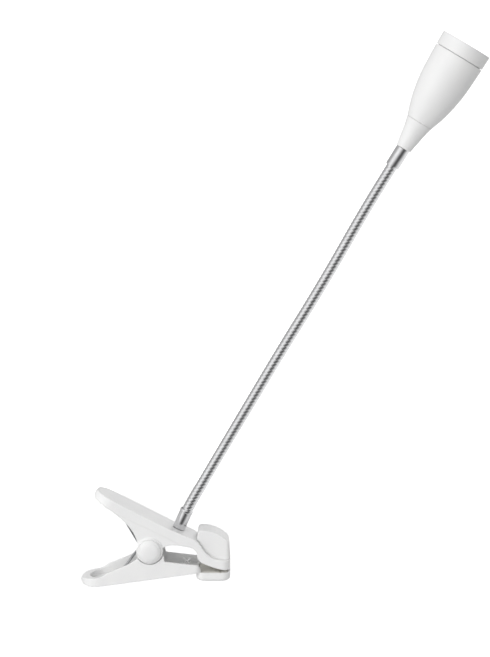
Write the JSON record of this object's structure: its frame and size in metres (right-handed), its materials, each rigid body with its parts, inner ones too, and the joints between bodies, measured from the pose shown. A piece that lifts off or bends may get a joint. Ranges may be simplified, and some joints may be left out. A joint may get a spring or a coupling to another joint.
{
  "type": "clip-on reading lamp",
  "caption": "White spring clip carrying a thin chrome gooseneck and a small bell-shaped LED head; the clip opens, and the arm bends and sways.",
  "frame": {"origin": "the middle of the lower jaw pad's gripping face, where the clip holds the edge it is clamped to", "axes": "+Z out of the lower jaw pad's face, +X along the clip from the handles to the jaws, Y along the clip's pivot pin; the arm leans towards +X"},
  "size_m": [0.3102, 0.0401, 0.4267],
  "materials": {
    "white_plastic": "white moulded ABS, satin to gloss",
    "grey_rubber": "matte soft grey rubber",
    "zinc_steel": "zinc-plated steel",
    "chrome": "bright plating over wound steel strip",
    "black_pvc": "black PVC",
    "clear_lens": "clear acrylic",
    "metallised_plastic": "plastic with a mirror coating",
    "board": "white solder mask",
    "phosphor": "yellow phosphor dome",
    "die_cast_aluminium": "plain casting"
  },
  "bodies": {
    "clip_lower": {"lower_lever": "white_plastic", "lower_jaw_pad": "grey_rubber", "pivot_pin": "zinc_steel", "pivot_cap_near": "white_plastic", "pivot_cap_far": "white_plastic", "torsion_spring": "zinc_steel"},
    "clip_upper": {"upper_lever": "white_plastic", "upper_jaw_pad": "grey_rubber", "jaw_hood": "white_plastic", "cord_gland": "black_pvc", "lever_lead": "black_pvc", "lower_ferrule": "chrome", "ferrule_washer": "zinc_steel", "ferrule_nut": "zinc_steel", "gooseneck_00": "chrome", "lead_00": "black_pvc"},
    "arm_01": {"gooseneck_01": "chrome", "lead_01": "black_pvc"},
    "arm_02": {"gooseneck_02": "chrome", "lead_02": "black_pvc"},
    "arm_03": {"gooseneck_03": "chrome", "lead_03": "black_pvc"},
    "arm_04": {"gooseneck_04": "chrome", "lead_04": "black_pvc"},
    "arm_05": {"gooseneck_05": "chrome", "lead_05": "black_pvc"},
    "arm_06": {"gooseneck_06": "chrome", "lead_06": "black_pvc"},
    "arm_07": {"gooseneck_07": "chrome", "lead_07": "black_pvc"},
    "arm_08": {"gooseneck_08": "chrome", "lead_08": "black_pvc"},
    "arm_09": {"gooseneck_09": "chrome", "lead_09": "black_pvc"},
    "arm_10": {"gooseneck_10": "chrome", "lead_10": "black_pvc"},
    "arm_11": {"gooseneck_11": "chrome", "lead_11": "black_pvc"},
    "lamp_head": {"gooseneck_12": "chrome", "lead_12": "black_pvc", "upper_ferrule": "chrome", "head_collar": "white_plastic", "head_shell": "white_plastic", "bezel_ring": "white_plastic", "lens": "clear_lens", "reflector": "metallised_plastic", "led_board": "board", "led_chip": "phosphor", "heat_sink": "die_cast_aluminium", "collar_nut": "zinc_steel", "board_screw_1": "zinc_steel", "board_screw_2": "zinc_steel", "board_screw_3": "zinc_steel"}
  },
  "joints": [
    {"name": "clip_open", "type": "hinge", "parent": "clip_lower", "child": "clip_upper", "pos_m": [-0.049, 0, 0.0178], "axis": [0, -1, 0], "range_deg": [0, 50], "stiffness_Nm_per_rad": 1.2, "springref_deg": -57.3, "deforming": ["torsion_spring"]},
    {"name": "arm_bend_01", "type": "hinge", "parent": "clip_upper", "child": "arm_01", "pos_m": [-0.01968, 0, 0.04787], "axis": [0, 1, 0], "range_deg": [-16, 12]},
    {"name": "arm_sway_02", "type": "hinge", "parent": "arm_01", "child": "arm_02", "pos_m": [-0.0069, 0, 0.0701], "axis": [0.8665, 0, -0.4992], "range_deg": [-16, 16]},
    {"name": "arm_bend_03", "type": "hinge", "parent": "arm_02", "child": "arm_03", "pos_m": [0.00592, 0, 0.0923], "axis": [0, 1, 0], "range_deg": [-16, 12]},
    {"name": "arm_sway_04", "type": "hinge", "parent": "arm_03", "child": "arm_04", "pos_m": [0.01882, 0, 0.11446], "axis": [0.8643, 0, -0.503], "range_deg": [-16, 16]},
    {"name": "arm_bend_05", "type": "hinge", "parent": "arm_04", "child": "arm_05", "pos_m": [0.03172, 0, 0.13662], "axis": [0, 1, 0], "range_deg": [-16, 12]},
    {"name": "arm_sway_06", "type": "hinge", "parent": "arm_05", "child": "arm_06", "pos_m": [0.04461, 0, 0.15878], "axis": [0.8625, 0, -0.506], "range_deg": [-16, 16]},
    {"name": "arm_bend_07", "type": "hinge", "parent": "arm_06", "child": "arm_07", "pos_m": [0.05767, 0, 0.18085], "axis": [0, 1, 0], "range_deg": [-16, 16]},
    {"name": "arm_sway_08", "type": "hinge", "parent": "arm_07", "child": "arm_08", "pos_m": [0.07102, 0, 0.20273], "axis": [0.8572, 0, -0.515], "range_deg": [-16, 16]},
    {"name": "arm_bend_09", "type": "hinge", "parent": "arm_08", "child": "arm_09", "pos_m": [0.08408, 0, 0.2248], "axis": [0, 1, 0], "range_deg": [-16, 16]},
    {"name": "arm_sway_10", "type": "hinge", "parent": "arm_09", "child": "arm_10", "pos_m": [0.09678, 0, 0.24708], "axis": [0.8717, 0, -0.4901], "range_deg": [-16, 16]},
    {"name": "arm_bend_11", "type": "hinge", "parent": "arm_10", "child": "arm_11", "pos_m": [0.10921, 0, 0.2695], "axis": [0, 1, 0], "range_deg": [-16, 16]},
    {"name": "arm_sway_12", "type": "hinge", "parent": "arm_11", "child": "lamp_head", "pos_m": [0.12207, 0, 0.29168], "axis": [0.8599, 0, -0.5105], "range_deg": [-16, 16]}
  ],
  "couplings": [
    {"joint": "arm_bend_03", "follows": "arm_bend_01", "ratio": 1},
    {"joint": "arm_bend_05", "follows": "arm_bend_01", "ratio": 1},
    {"joint": "arm_sway_04", "follows": "arm_sway_02", "ratio": 1},
    {"joint": "arm_sway_06", "follows": "arm_sway_02", "ratio": 1},
    {"joint": "arm_bend_09", "follows": "arm_bend_07", "ratio": 1},
    {"joint": "arm_bend_11", "follows": "arm_bend_07", "ratio": 1},
    {"joint": "arm_sway_10", "follows": "arm_sway_08", "ratio": 1},
    {"joint": "arm_sway_12", "follows": "arm_sway_08", "ratio": 1}
  ]
}
